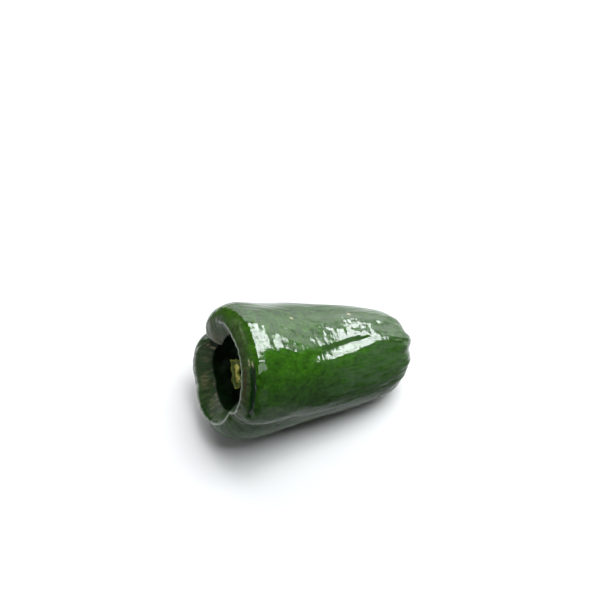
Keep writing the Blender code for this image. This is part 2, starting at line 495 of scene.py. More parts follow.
class NodeBench:
    """Adds nodes to one tree.

    A socket is given a value, joined to another node's socket, or joined to a number kept on the
    mesh, which is given by its name.
    """

    # The vector operations whose result is a number.
    TO_NUMBER = ("LENGTH", "DISTANCE", "DOT_PRODUCT")

    def __init__(self, tree: Tree) -> None:
        """Keep the tree that the nodes go in."""
        self.tree = tree

    def give(self, socket: Socket, value: object) -> None:
        """Join a socket, or set its value, which is opaque where it is a colour.

        Args:
            socket: the socket.
            value: the output or the kept number's name to join, or the value to set.
        """
        if isinstance(value, str):
            value = self.add("ShaderNodeAttribute", attribute_name=str(value)).outputs["Fac"]
        if isinstance(value, Socket):
            self.tree.links.new(value, socket)
        else:
            socket.default_value = (*value, 1.0) if socket.type == "RGBA" else value

    def add(self, kind: str, sockets: dict | None = None, **settings: object) -> bpy.types.Node:
        """Add a node.

        Args:
            kind: the node's type.
            sockets: its inputs by name or index, each with a value or an output to join.
            settings: its properties by name.

        Returns:
            The new node.
        """
        node = self.tree.nodes.new(kind)
        for name, value in settings.items():
            setattr(node, name, value)
        for key, value in (sockets or {}).items():
            self.give(node.inputs[key], value)
        return node

    def math(self, operation: str, first: object, second: object) -> Socket:
        """Work out one number from two."""
        return self.add("ShaderNodeMath", {0: first, 1: second}, operation=operation).outputs[0]

    def times(self, *values: object) -> object:
        """Multiply values together. A single one is given back as it is."""
        return reduce(lambda product, value: self.math("MULTIPLY", product, value), values)

    def vector(self, operation: str, first: object, second: object = None) -> Socket:
        """Work on one vector or two.

        Args:
            operation: the Vector Math node's operation.
            first: the first vector.
            second: the second vector, or the number to scale by.

        Returns:
            The result's socket.
        """
        sockets = {0: first}
        if second is not None:
            sockets["Scale" if operation == "SCALE" else 1] = second
        node = self.add("ShaderNodeVectorMath", sockets, operation=operation)
        return node.outputs["Value" if operation in self.TO_NUMBER else "Vector"]

    def facing(self, toward: Socket, way: Triple) -> Socket:
        """Tell how well a direction agrees with a given way, from -1 to 1."""
        return self.vector("DOT_PRODUCT", toward, Vector(way).normalized())

    def rise(self, value: object, low: float, high: float, start: float = 0.0, end: float = 1.0) -> Socket:
        """Rise smoothly from start, where the value is low, to end, where it is high."""
        sockets = {"Value": value, "From Min": low, "From Max": high, "To Min": start, "To Max": end}
        return self.add("ShaderNodeMapRange", sockets, interpolation_type="SMOOTHSTEP").outputs["Result"]

    def band(self, value: object, low: float, high: float, soft: float) -> Socket:
        """Mask the values between low and high, with soft edges."""
        inner = self.rise(value, low - soft, low + soft)
        return self.times(inner, self.rise(value, high - soft, high + soft, 1.0, 0.0))

    def mix(self, share: object, first: object, second: object, blend: str = "MIX") -> Socket:
        """Mix as much of a second colour as the share into a first."""
        sockets = {0: share, 6: first, 7: second}
        return self.add("ShaderNodeMix", sockets, data_type="RGBA", blend_type=blend).outputs[2]

    def cloud(self, place: object, scale: float, detail: float = 2.0, roughness: float = 0.5) -> Socket:
        """Read soft noise from 0 to 1, with finer layers by its detail and roughness."""
        sockets = {"Vector": place, "Scale": scale, "Detail": detail, "Roughness": roughness}
        return self.add("ShaderNodeTexNoise", sockets).outputs["Fac"]

    def gray(self, value: Socket) -> Socket:
        """Make a gray of a number."""
        return self.add("ShaderNodeCombineColor", {0: value, 1: value, 2: value}).outputs[0]

    def stretch(self, place: object, scale: Triple) -> Socket:
        """Scale a place by a number for each axis."""
        return self.add("ShaderNodeMapping", {"Vector": place, "Scale": scale}).outputs["Vector"]

    def group(self, tree: Tree, sockets: dict) -> bpy.types.bpy_prop_collection:
        """Place a node group with its own values, and give its outputs."""
        return self.add("ShaderNodeGroup", sockets, node_tree=tree).outputs

    def for_camera(self, seen: object, reflected: object) -> Socket:
        """Show one colour to the camera, and another to all other rays."""
        return self.mix(self.add("ShaderNodeLightPath").outputs["Is Camera Ray"], reflected, seen)


def new_group(name: str, inputs: dict[str, str], outputs: dict[str, str]) -> tuple:
    """Make an empty node group with named sockets.

    Args:
        name: the group's name.
        inputs: each input's name and kind of socket.
        outputs: each output's name and kind of socket.

    Returns:
        The bench for its tree, the sockets that it reads and the sockets that it puts out.
    """
    tree = bpy.data.node_groups.new(name, "ShaderNodeTree")
    for way, sockets in (("INPUT", inputs), ("OUTPUT", outputs)):
        for socket, kind in sockets.items():
            tree.interface.new_socket(name=socket, in_out=way, socket_type=f"NodeSocket{kind}")
    return NodeBench(tree), tree.nodes.new("NodeGroupInput").outputs, tree.nodes.new("NodeGroupOutput").inputs


class SkinGroups:
    """The node groups that the pepper's materials share."""

    def __init__(self, lie: Lie) -> None:
        """Build the groups.

        Args:
            lie: how the pepper lies.
        """
        self.axis = self.build_axis(lie)
        self.specks = self.build_specks()
        self.fibre = self.build_fibre()

    @staticmethod
    def build_axis(lie: Lie) -> Tree:
        """Build the group that gives places on the pepper's own axis, in millimetres.

        Args:
            lie: how the pepper lies.

        Returns:
            The group's tree, which puts out the plain place, the way along and a place wrapped
            round the axis.
        """
        bench, inside, outside = new_group(
            "pepper_axis", {"Vector": "Vector"}, {"Point": "Vector", "Along": "Float", "Round": "Vector"})
        sockets = {"Vector": inside["Vector"], "Location": lie.crown, "Rotation": (0.0, lie.slope, 0.0),
                   "Scale": (MM, MM, MM)}
        point = bench.add("ShaderNodeMapping", sockets, vector_type="TEXTURE").outputs[0]
        parts = bench.add("ShaderNodeSeparateXYZ", {"Vector": point}).outputs
        flat = bench.add("ShaderNodeCombineXYZ", {"Y": parts["Y"], "Z": parts["Z"]}).outputs[0]
        ring = bench.vector("SCALE", bench.vector("NORMALIZE", flat), TYPICAL_RADIUS)
        along = bench.add("ShaderNodeCombineXYZ", {"X": parts["X"]}).outputs[0]
        bench.give(outside["Point"], point)
        bench.give(outside["Along"], parts["X"])
        bench.give(outside["Round"], bench.vector("ADD", ring, along))
        return bench.tree

    @staticmethod
    def build_specks() -> Tree:
        """Build the group that scatters small soft-edged specks.

        Returns:
            The group's tree, which puts out a mask.
        """
        bench, inside, outside = new_group(
            "cork_specks", {"Vector": "Vector", "Spacing": "Float", "Size": "Float", "Amount": "Float"},
            {"Mask": "Float"})
        bent = bench.add("ShaderNodeTexNoise", {"Vector": inside["Vector"], "Scale": 2.0, "Detail": 1.0})
        place = bench.vector("ADD", inside["Vector"], bench.vector("SCALE", bent.outputs["Color"], 0.4))
        density = bench.math("DIVIDE", 1.0, inside["Spacing"])
        cells = bench.add("ShaderNodeTexVoronoi", {"Vector": place, "Scale": density}).outputs
        chance = bench.add("ShaderNodeSeparateColor", {"Color": cells["Color"]}).outputs
        chosen = bench.math("LESS_THAN", chance[0], inside["Amount"])
        own_size = bench.math("ADD", bench.times(chance[1], 0.6), 0.4)
        edge = bench.times(bench.math("DIVIDE", inside["Size"], inside["Spacing"]), own_size)
        dot = bench.rise(bench.math("DIVIDE", cells["Distance"], edge), 0.7, 1.0, 1.0, 0.0)
        bench.give(outside["Mask"], bench.times(dot, chosen))
        return bench.tree

    @staticmethod
    def build_fibre() -> Tree:
        """Build the group for fine lines that run along the pepper.

        Returns:
            The group's tree, which puts out a value from 0 to 1.
        """
        bench, inside, outside = new_group(
            "lengthwise_fibre", {"Vector": "Vector", "Width": "Float", "Length": "Float"}, {"Value": "Float"})
        across = bench.math("DIVIDE", 1.0, inside["Width"])
        along = bench.math("DIVIDE", 1.0, inside["Length"])
        scale = bench.add("ShaderNodeCombineXYZ", {"X": along, "Y": across, "Z": across}).outputs[0]
        lines = bench.cloud(bench.vector("MULTIPLY", inside["Vector"], scale), 1.0, roughness=0.6)
        bench.give(outside["Value"], bench.rise(lines, 0.3, 0.7))
        return bench.tree


class FinishBench(NodeBench):
    """Adds nodes to a new material."""

    def __init__(self, name: str, roughness: float) -> None:
        """Make the material.

        Args:
            name: the material's name.
            roughness: its roughness, where nothing is joined to it.
        """
        self.material = bpy.data.materials.new(name)
        self.material.use_nodes = True
        super().__init__(self.material.node_tree)
        self.inputs = self.tree.nodes["Principled BSDF"].inputs
        self.inputs["Roughness"].default_value = roughness


class SkinBench(FinishBench):
    """Adds nodes to one of the pepper's materials, whose colour is laid on in coats."""

    def __init__(self, name: str, roughness: float, refraction: float, groups: SkinGroups) -> None:
        """Make the material and find places on the pepper's axis.

        Args:
            name: the material's name.
            roughness: its roughness, where nothing is joined to it.
            refraction: its refractive index.
            groups: the shared node groups.
        """
        super().__init__(name, roughness)
        self.inputs["IOR"].default_value = refraction
        self.groups = groups
        coords = self.add("ShaderNodeTexCoord").outputs["Object"]
        self.point, self.along, self.round = self.group(groups.axis, {"Vector": coords})
        self.color: object = None

    def over(self, color: object, *shares: object) -> None:
        """Lay a colour over the coats so far, as strongly as the shares multiplied."""
        self.color = self.mix(self.times(*shares), self.color, color)

    def shade(self, value: Socket) -> None:
        """Multiply the colour by a number."""
        self.color = self.mix(1.0, self.color, self.gray(value), "MULTIPLY")

    def fibre(self, width: float, length: float) -> Socket:
        """Draw lines along the pepper, of a width and a length in millimetres."""
        return self.group(self.groups.fibre, {"Vector": self.round, "Width": width, "Length": length})[0]

    def specks(self, spacing: float, size: float, amount: float) -> Socket:
        """Scatter specks of a spacing and a size in millimetres, in an amount from 0 to 1."""
        sockets = {"Vector": self.point, "Spacing": spacing, "Size": size, "Amount": amount}
        return self.group(self.groups.specks, sockets)[0]

    def bump(self, height: Socket, depth: float, strength: float) -> None:
        """Raise the surface by a height of 0 to 1, times a depth in millimetres."""
        bump = self.add("ShaderNodeBump", {"Height": height, "Distance": depth * MM, "Strength": strength})
        self.give(self.inputs["Normal"], bump.outputs[0])


@dataclass(frozen=True)
class Skin:
    """What the pepper's finishes have in common: a name, a roughness and a refractive index."""

    name: str
    roughness: float
    refraction: float

    def build(self, groups: SkinGroups) -> Material:
        """Build the material.

        Args:
            groups: the shared node groups.

        Returns:
            The finished material.
        """
        bench = SkinBench(self.name, self.roughness, self.refraction, groups)
        self.dress(bench)
        bench.give(bench.inputs["Base Color"], bench.color)
        return bench.material

    def dress(self, bench: SkinBench) -> None:
        """Lay on the finish's own colour and relief."""
        raise NotImplementedError


class Mask(StrEnum):
    """The shares kept on the pod's mesh. The pod's field or method of the same name gives each."""

    LIT_SIDE = "lit_side"
    LIP_HIGHLIGHT = "lip_highlight"
    CROWN_TINT = "crown_tint"
    CROWN_WEAR = "crown_wear"
    RIM_TINT = "rim_tint"
    FACE_SHEEN = "face_sheen"
    THROAT_LINE = "throat_line"
    CHANNEL_SHADE = "channel_shade"
    PALE_MARKS = "pale_marks"
    BROWN_MARKS = "brown_marks"


@dataclass(frozen=True)
class PodSkin(Skin):
    """Dark green glossy skin, brighter by the crown, with cork marks and fine lengthwise lines.

    Places are in millimetres: along the axis for the tip, the grey veil of painted sheen and the smooth end,
    and along the outline from the rim's crest for the others.
    """

    # deep is the darker green and mid the lighter green that the painted light on the lit side mixes in
    deep: Color = (0.014, 0.052, 0.004)
    mid: Color = (0.030, 0.112, 0.005)
    crown: Color = (0.038, 0.116, 0.002)
    tip: Color = (0.041, 0.102, 0.022)
    # painted highlight colour of the pale line along the rim's crest
    rim: Color = (0.420, 0.440, 0.390)
    rim_brown: Color = (0.050, 0.062, 0.026)
    # painted sheen colour of the lobes' inner faces
    face: Color = (0.125, 0.140, 0.105)
    cork: Color = (0.300, 0.235, 0.140)
    pale: Color = (0.520, 0.470, 0.300)
    bruise: Color = (0.060, 0.030, 0.012)
    # painted shade colour for the deep inside of the hollow
    hollow: Color = (0.004, 0.020, 0.003)
    # painted shade colour for the channel beside the rim
    shade: Color = (0.002, 0.016, 0.004)
    bloom_and_sheen: Color = (0.070, 0.114, 0.062)
    rubbed: Color = (0.115, 0.175, 0.062)
    line_shade: Color = (0.5, 0.5, 0.5)
    tip_from: Span = (70.0, 108.0)
    veil_from: Span = (42.0, 68.0)
    veil_past: Span = (12.0, 24.0)
    smooth_end: Span = (101.0, 107.0)
    hollow_shade_from: Span = (-12.0, -8.0)
    dull_from: Span = (-5.0, 1.0)
    throat: Span = (-9.0, -3.0)

    def dress(self, bench: SkinBench) -> None:
        """Lay on the skin's colour, marks, gloss and fine relief.

        Args:
            bench: the material's bench.
        """
        lines, brushed, specks = bench.fibre(0.7, 16.0), bench.fibre(1.3, 30.0), bench.specks(7.0, 0.55, 0.22)
        self.lay_greens(bench, lines, brushed)
        self.lay_marks(bench, brushed, specks)
        rough = bench.rise(lines, 0.0, 1.0, self.roughness, self.roughness + 0.04)
        rough = bench.math("ADD", rough, bench.rise(TurnedBody.WAY, *self.dull_from, 0.35, 0.0))
        bench.give(bench.inputs["Roughness"], bench.math("ADD", rough, bench.times(specks, 0.4)))
        height = bench.math("ADD", bench.times(lines, 0.35), bench.times(bench.fibre(4.0, 0.8), 0.65))
        bench.bump(bench.times(height, bench.rise(bench.along, *self.smooth_end, 1.0, 0.15)), 0.03, 0.7)

    def lay_greens(self, bench: SkinBench, lines: Socket, brushed: Socket) -> None:
        """Lay on the greens and browns of the skin, its grain, and painted light and shade: the lighter lit
        side, the dark hollow, the sheen toward the tip and the dark channel.

        Args:
            bench: the material's bench.
            lines: the fine lines along the skin.
            brushed: the coarser lines along the skin.
        """
        place = bench.round
        blotches = bench.rise(bench.cloud(bench.stretch(place, (0.5, 1, 1)), 0.09, 3.0), 0.35, 0.65)
        # painted light: the green is mixed lighter on the side that faces the light and stays darker on the
        # top and back
        painted_light_share = bench.times(Mask.LIT_SIDE, bench.rise(blotches, 0.0, 1.0, 0.7, 1.0))
        bench.color = bench.mix(painted_light_share, self.deep, self.mid)
        bench.over(self.tip, bench.rise(bench.along, *self.tip_from, 0.0, 0.7))
        bench.over(self.crown, Mask.CROWN_TINT, bench.rise(blotches, 0.0, 0.8, 0.6, 1.0))
        swept = bench.rise(bench.fibre(8.0, 1.2), 0.25, 0.75, 0.05, 0.8)
        bench.over(self.rubbed, Mask.CROWN_WEAR, swept)
        bench.over(self.rim_brown, Mask.RIM_TINT, bench.rise(brushed, 0.0, 1.0, 0.55, 1.0))
        # painted shade: the deep inside of the hollow is laid on in a near-black green
        bench.over(self.hollow, bench.rise(TurnedBody.WAY, *self.hollow_shade_from, 1.0, 0.0))
        patches = bench.cloud(bench.stretch(place, (0.8, 1, 1)), 0.32, 3.0)
        bench.shade(bench.rise(patches, 0.34, 0.66, 0.78, 1.2))
        grain = bench.cloud(bench.stretch(place, (0.7, 1, 1)), 0.8, 4.0, 0.65)
        bench.shade(bench.rise(grain, 0.32, 0.68, 0.70, 1.28))
        bench.color = bench.mix(bench.times(lines, 0.3), bench.color, self.line_shade, "MULTIPLY")
        # greyish bloom and painted sheen: a grey veil laid along the skin toward the tip
        veil = bench.rise(bench.along, *self.veil_from, 0.08, 0.62)
        bench.over(self.bloom_and_sheen, bench.fibre(3.0, 11.0), veil, bench.rise(TurnedBody.WAY, *self.veil_past))
        # painted shade: the floor of the channel beside the rim is darkened
        bench.over(self.shade, Mask.CHANNEL_SHADE, 0.9)

    def lay_marks(self, bench: SkinBench, brushed: Socket, specks: Socket) -> None:
        """Lay on the painted sheen of the inner faces, the cork, the painted highlight along the rim's crest,
        the scars and the specks.

        Args:
            bench: the material's bench.
            brushed: the coarser lines along the skin.
            specks: the larger specks.
        """
        place = bench.round
        # painted sheen: the inner faces of the top and far lobes are grayed as if reflecting a pale room
        bench.over(self.face, Mask.FACE_SHEEN, bench.rise(brushed, 0.0, 1.0, 0.35, 0.95))
        patchy = bench.rise(bench.cloud(place, 0.16, 3.0), 0.46, 0.62)
        in_throat = bench.band(TurnedBody.WAY, *self.throat, 1.5)
        bench.over(self.cork, bench.fibre(2.0, 4.0), in_throat, patchy, 0.35)
        bench.over(self.cork, Mask.THROAT_LINE, patchy, 0.6)
        uneven = bench.rise(bench.cloud(place, 0.45), 0.35, 0.65, 0.55, 1.0)
        # painted highlight: a pale line along the rim's crest
        bench.over(self.rim, Mask.LIP_HIGHLIGHT, uneven)
        bench.over(self.bruise, Mask.BROWN_MARKS, 0.9)
        bench.over(self.pale, Mask.PALE_MARKS)
        bench.over(self.cork, specks, 0.8)
        bench.over(self.tip, bench.specks(1.6, 0.22, 0.5), 0.45)


@dataclass(frozen=True)
class CalyxSkin(Skin):
    """Dull green of the calyx, blotched with paler green and corky specks."""

    green: Color = (0.045, 0.095, 0.022)
    pale: Color = (0.130, 0.170, 0.055)
    cork: Color = (0.230, 0.170, 0.090)

    def dress(self, bench: SkinBench) -> None:
        """Lay on the colour and relief.

        Args:
            bench: the material's bench.
        """
        blotches = bench.rise(bench.cloud(bench.point, 0.5, 3.0), 0.35, 0.65)
        bench.color = bench.mix(blotches, self.green, self.pale)
        bench.over(self.cork, bench.specks(2.6, 0.6, 0.4))
        bench.give(bench.inputs["Roughness"], bench.rise(blotches, 0.0, 1.0, self.roughness, 0.75))
        bench.bump(bench.cloud(bench.point, 1.8, 3.0), 0.15, 0.7)


@dataclass(frozen=True)
class StemCut(Skin):
    """The cut stub: olive rind with fibres along it, and a pale yellow pith on the cut."""

    rind: Color = (0.030, 0.070, 0.008)
    rind_light: Color = (0.300, 0.330, 0.040)
    pith: Color = (0.850, 0.800, 0.260)
    pith_dark: Color = (0.620, 0.580, 0.150)
    pith_from: Span = (3.6, 4.4)

    def dress(self, bench: SkinBench) -> None:
        """Lay on the colour and relief.

        Args:
            bench: the material's bench.
        """
        bench.color = bench.mix(bench.times(bench.fibre(2.4, 7.0), 0.35), self.rind, self.rind_light)
        jagged = bench.rise(bench.cloud(bench.point, 0.9), 0.3, 0.7, -0.5, 0.5)
        bench.over(self.rind_light, bench.band(bench.math("ADD", TurnedBody.WAY, jagged), -0.5, 0.9, 0.3))
        cells = bench.rise(bench.cloud(bench.point, 1.6, 3.0, 0.65), 0.35, 0.65)
        bench.over(bench.mix(cells, self.pith_dark, self.pith), bench.rise(TurnedBody.WAY, *self.pith_from))
        bench.bump(bench.cloud(bench.point, 2.2, 3.0), 0.2, 0.8)


@dataclass(frozen=True)
class Pod:
    """The pepper's pod: a sunken crown, a lobed rim, tapering sides and a blunt tip."""

    length: float = 108.0
    shoulder_radius: float = 36.6
    rim_radius: float = 26.6
    cavity_depth: float = 28.5
    floor_radius: float = 9.5
    throat_radius: float = 20.1
    step: float = 0.7
    columns: int = 352
    rim_reach: float = 16.0
    rim_setback: float = 2.6
    rim_lean: float = 4.4
    rim_lean_toward: float = 14.0
    top_lobe_angle: float = -70.0
    top_lobe_width: float = 20.0
    top_lobe_setback: float = -1.0
    top_lobe_bulge: float = 0.21
    top_lobe_blunting: float = 1.0
    rim_flare: float = 0.075
    rim_flare_angle: float = -42.0
    rim_flare_width: float = 18.0
    rim_flare_reach: float = 5.0
    slope: float = 11.3
    contact_round: float = 0.35
    furrows: tuple[Furrow, ...] = (
        Furrow(-91, 8, depth=0.14, inner_depth=-0.12, dip=5.5,
               width_before=5, width_after=9, length=48, tip_share=0.7),
        Furrow(-38, 12, depth=0.035, inner_depth=0, dip=1.2,
               width_before=13, width_after=14, length=36, tip_share=0.6, rounding=12.0),
        Furrow(107, -3, depth=0.22, inner_depth=0.22, dip=1.5,
               width_before=11, width_after=24, length=42, tip_share=0.4),
        Furrow(212, 4, depth=0.03, inner_depth=0.08, dip=1.2,
               width_before=13, width_after=12, length=60, tip_share=0.9),
    )
    swells: tuple[Swell, ...] = (
        Swell(0.010, around=2, along=0.6, phase=0.4),
        Swell(0.008, around=3, along=-1.3, phase=1.9),
        Swell(0.005, around=5, along=2.2, phase=4.1),
    )
    dents: Ripple = Ripple(0.65, along=16.0, around=10.0, seed=3.7)
    lines: Ripple = Ripple(0.16, along=18.0, around=2.8, seed=11.3, twist=-0.8)
    tip_lines: Ripple = Ripple(0.22, along=16.0, around=3.0, seed=51.9, twist=0.4)
    puckers: Ripple = Ripple(0.40, along=7.0, around=4.0, seed=23.9)
    crumples: Ripple = Ripple(0.22, along=3.5, around=5.0, seed=31.1)
    hollow_lumps: Ripple = Ripple(0.45, along=5.0, around=5.0, seed=41.7)
    wrinkles: Ripple = Ripple(0.075, along=1.5, around=4.0, seed=61.3, twist=-1.5)
    creases: Ripple = Ripple(0.08, along=9.0, around=1.6, seed=71.9, twist=-0.4)
    lip_waves: Ripple = Ripple(0.55, along=60.0, around=3.2, seed=93.7)
    scuffs: Ripple = Ripple(0.20, along=9.0, around=2.0, seed=83.1, twist=0.57)
    channel: Channel = Channel(0.75, way=8.8, width=2.5, taper=0.35, angle=60.0, reach=26.0)
    lit_angle: float = 29.0
    lit_width: float = 34.0
    far_lobe_angle: float = -135.0
    far_lobe_width: float = 38.0
    throat_line_angle: float = -160.0
    throat_line_way: float = -9.8
    crown_tint: Patch = Patch(-15.0, 52.0, fade_in=(0.0, 3.0), fade_out=(9.0, 17.0))
    crown_wear: Patch = Patch(0.0, 14.0, fade_in=(2.0, 5.0), fade_out=(10.0, 13.0))
    rim_tint: Patch = Patch(42.0, 56.0, fade_in=(0.5, 1.5), fade_out=(4.5, 7.5))
    near_face: Patch = Patch(-66.0, 30.0, fade_in=(-11.0, -9.5), fade_out=(2.2, 4.2))
    far_face: Patch = Patch(-118.0, 20.0, fade_in=(-11.0, -9.5), fade_out=(2.2, 4.2))
    pale_flecks: tuple[Fleck, ...] = (
        Fleck(43.2, -5.2, length=0.7, width=0.6), Fleck(77.2, -11.5, length=0.8, width=0.6),
        Fleck(6.9, 31.0, length=0.5, width=0.8), Fleck(6.9, 34.4, length=0.5, width=0.8),
        Fleck(9.6, 35.0, length=0.5, width=1.2), Fleck(-4.2, -96.5, length=0.9, width=0.6),
        Fleck(-9.0, -98.5, length=2.4, width=0.35),
    )
    brown_flecks: tuple[Fleck, ...] = (
        Fleck(1.6, 68.5, length=0.6, width=0.9), Fleck(1.2, 84.0, length=0.8, width=0.6),
        Fleck(2.7, 43.0, length=0.6, width=6.0), Fleck(2.3, 57.0, length=0.55, width=4.5),
    )
    mounds: tuple[Mound, ...] = (
        Mound(1.40, x=94.0, angle=22.0, length=22.0, width=18.0),
        Mound(0.70, x=92.0, angle=-8.0, length=11.0, width=17.0),
        Mound(0.80, x=61.0, angle=44.0, length=19.0, width=11.0),
        Mound(-0.50, x=60.0, angle=15.0, length=14.0, width=24.0),
        Mound(0.60, x=10.2, angle=24.0, length=3.2, width=16.0),
        Mound(-0.22, x=24.5, angle=15.0, length=1.6, width=16.0, drift=-2.0),
        Mound(-0.20, x=17.0, angle=11.0, length=8.0, width=3.0, drift=-0.3),
        Mound(-0.16, x=19.0, angle=5.0, length=1.2, width=7.0, drift=-1.2),
        Mound(-0.16, x=22.5, angle=17.0, length=1.2, width=7.0, drift=1.4),
        Mound(-0.75, x=64.0, angle=27.5, length=19.0, width=4.8, drift=-0.42),
        Mound(-0.45, x=75.5, angle=9.0, length=8.0, width=3.4, drift=-0.3),
        Mound(-0.14, x=66.5, angle=15.0, length=0.9, width=8.0, drift=-2.0),
        Mound(-0.12, x=75.0, angle=13.0, length=0.8, width=7.0, drift=-2.0),
        Mound(-0.12, x=79.5, angle=12.0, length=0.8, width=7.0, drift=-2.0),
        Mound(-0.32, x=66.0, angle=7.0, length=8.0, width=13.0),
    )

    def outline(self) -> tuple[Point, ...]:
        """Give the half outline.

        Returns:
            The points from the hollow's middle over the rim to the tip, as way and radius.
        """
        return (
            (self.cavity_depth, 0), (self.cavity_depth, self.floor_radius), (27.3, 14.0), (24.5, 17.8),
            (19.5, 20.6), (13.5, 21.4), (9.8, 20.8), (8.2, self.throat_radius), (7.2, 20.5), (4.6, 22.1),
            (1.6, 24.3), (0.4, 25.5), (0, self.rim_radius), (0.45, 27.8), (1.4, 30.0), (3.3, 32.6),
            (5.9, 34.7), (9.5, 36.0), (14, 36.6), (19, self.shoulder_radius), (32, 34.0), (50, 30.3),
            (71, 26.8), (86, 24.0), (95, 21.3), (101.1, 17.3), (105.1, 11.7), (106.8, 6.4),
            (107.2, 3.4), (107.8, 1.4), (self.length, 0),
        )

    def lit_side(self, spot: Spot) -> float:
        """Tell how much painted light there is: the green is mixed lighter on the side that faces the light,
        from 0 to 1.
        """
        farther = smooth_step(spot.way, 50, 80)
        return bell_round(spot.angle, self.lit_angle + 10 * farther, self.lit_width + 12 * farther)

    def lip_highlight(self, spot: Spot) -> float:
        """Tell how much of the painted highlight, a pale line, there is along the rim's crest.

        Args:
            spot: the place.

        Returns:
            A share from 0 to 1.
        """
        off = degrees_apart(spot.angle, self.top_lobe_angle)
        far_lobe = bell_round(spot.angle, self.far_lobe_angle, self.far_lobe_width)
        line = bell(spot.way, -0.8 * far_lobe, 0.52 + 0.38 * far_lobe)
        return line * (smooth_step(off, 32, 44) + smooth_step(-off, 26, 36))

    def face_sheen(self, spot: Spot) -> float:
        """Tell how much painted sheen grays the inner faces of the top lobe and the far lobe, from 0 to 1."""
        edge = 1 - smooth_step(degrees_apart(spot.angle, self.near_face.angle), 32, 46)
        return edge * self.near_face(spot) + 0.3 * self.far_face(spot)

    def throat_line(self, spot: Spot) -> float:
        """Tell how much of the pale edge there is low in the hollow's throat, from 0 to 1."""
        off = abs(degrees_apart(spot.angle, self.throat_line_angle))
        return bell(spot.way, self.throat_line_way, 0.6) * (1 - smooth_step(off, 22, 34))

    def channel_shade(self, spot: Spot) -> float:
        """Tell how much painted shade darkens the channel beside the rim, from 0 to 1."""
        return self.channel.shade(spot)

    def pale_marks(self, spot: Spot) -> float:
        """Tell how much of the pale cork marks there is, from 0 to 1."""
        return max(fleck.share(spot) for fleck in self.pale_flecks)

    def brown_marks(self, spot: Spot) -> float:
        """Tell how much of the brown scars by the rim there is, from 0 to 1."""
        return max(fleck.share(spot) for fleck in self.brown_flecks)

    def top_lobe(self, angle: float) -> float:
        """Tell how near an angle is to the middle of the small top lobe, from 0 to 1."""
        return bell_round(angle, self.top_lobe_angle, self.top_lobe_width)

    def place(self, spot: Spot) -> Point:
        """Shape one point of the turned pod.

        Args:
            spot: the point's place.

        Returns:
            The shaped x and radius.
        """
        x, radius, angle, way = spot
        along = x / self.length
        near_rim = 1 - smooth_step(x, 0, self.rim_reach)
        inside = smooth_step(self.rim_radius - radius, 0, self.rim_radius / 6) if way < 0 else 0
        lean = self.rim_lean * math.cos(angle - math.radians(self.rim_lean_toward))
        back = self.rim_setback + lean + self.top_lobe_setback * self.top_lobe(angle)
        scale = 1 + sum(swell.at(along, angle) for swell in self.swells)
        scale -= inside * self.top_lobe_bulge * self.top_lobe(angle)
        flared = bell_round(angle, self.rim_flare_angle, self.rim_flare_width)
        scale += self.rim_flare * flared * bell(x, 0, self.rim_flare_reach)
        for furrow in self.furrows:
            valley = furrow.valley(along, angle)
            back += furrow.dip * valley
            depth = furrow.depth + inside * (furrow.inner_depth - furrow.depth)
            scale -= depth * furrow.share(x, self.length) * valley
        return x + near_rim * back, radius * scale

    def skin_height(self, spot: Spot) -> float:
        """Give how far the skin stands out from the plain shape at a point.

        Args:
            spot: the point's place.

        Returns:
            The height in millimetres.
        """
        x, radius, angle, way = spot
        outside = smooth_step(way, 1, 8)
        off_pole = outside * smooth_step(radius, 4, 15)
        toward_tip, near_tip = smooth_step(x, 40, 65), smooth_step(x, 74, 98)
        near_side = smooth_step(degrees_apart(angle, 0), -24, -4)
        rippled = (
            (self.dents, off_pole * (1 + 0.6 * near_tip)),
            (self.lines, outside * (1 - toward_tip)),
            (self.tip_lines, off_pole * toward_tip),
            (self.puckers, near_tip * smooth_step(radius, 3, 12) * (1 - 0.7 * bell_round(angle, -28, 30))),
            (self.crumples, near_side * bell(way, 9, 6)),
            (self.hollow_lumps, smooth_step(-way, 2, 9)),
            (self.wrinkles, outside * (0.4 + 0.6 * near_side)),
            (self.creases, off_pole * (0.3 + 0.7 * near_side + 1.7 * near_tip)),
            (self.scuffs, bell(x, 74, 17) * bell_round(angle, 14, 22)),
        )
        height = sum(share * ripple.at(x, angle) for ripple, share in rippled)
        height += bell(way, 0, 2.5) * self.lip_waves.at(0, angle)
        height += outside * smooth_step(radius, 1, 12) * sum(mound.at(x, angle) for mound in self.mounds)
        height -= self.top_lobe_blunting * bell(way, 0, 2.4) * bell_round(angle, self.top_lobe_angle, 30)
        return height - self.channel.depth * self.channel.share(spot)

    def build(self) -> tuple[Mesh, Lie]:
        """Build the pod's mesh and find where it lies.

        Returns:
            The finished mesh in metres, and how the pepper lies.
        """
        outline = smooth_outline(self.outline(), self.step)
        crest = min(range(len(outline)), key=lambda index: outline[index][0])
        body = TurnedBody(outline, crest, self.columns)
        body.shape(self.place)
        for mask in Mask:
            body.paint(mask.value, getattr(self, mask.value))
        lie = self.find_lie(body.mesh)
        body.ripple(self.skin_height)
        mesh = body.lay(lie)
        self.settle(mesh)
        return mesh, lie

    def find_lie(self, mesh: Mesh) -> Lie:
        """Find where the shaped pod lies, from the box of the frame's own.

        Args:
            mesh: the shaped mesh, in millimetres on the pepper's axis.

        Returns:
            How the pepper lies.
        """
        slope = math.radians(self.slope)
        sloped = Lie(slope, Vector()).matrix
        places = [sloped @ vert.co for vert in mesh.verts]
        low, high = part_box("pod")
        crown = Vector([(low[i] + high[i] - min(p[i] for p in places) - max(p[i] for p in places)) / 2
                        for i in range(3)])
        crown.z = high.z - max(place.z for place in places)
        return Lie(slope, crown)

    def settle(self, mesh: Mesh) -> None:
        """Press the underside flat where the pod rests, with a soft edge.

        Args:
            mesh: the pod's mesh in metres, as it lies.
        """
        edge = self.contact_round * MM
        for vert in mesh.verts:
            vert.co.z = (vert.co.z + math.hypot(vert.co.z, edge)) / 2


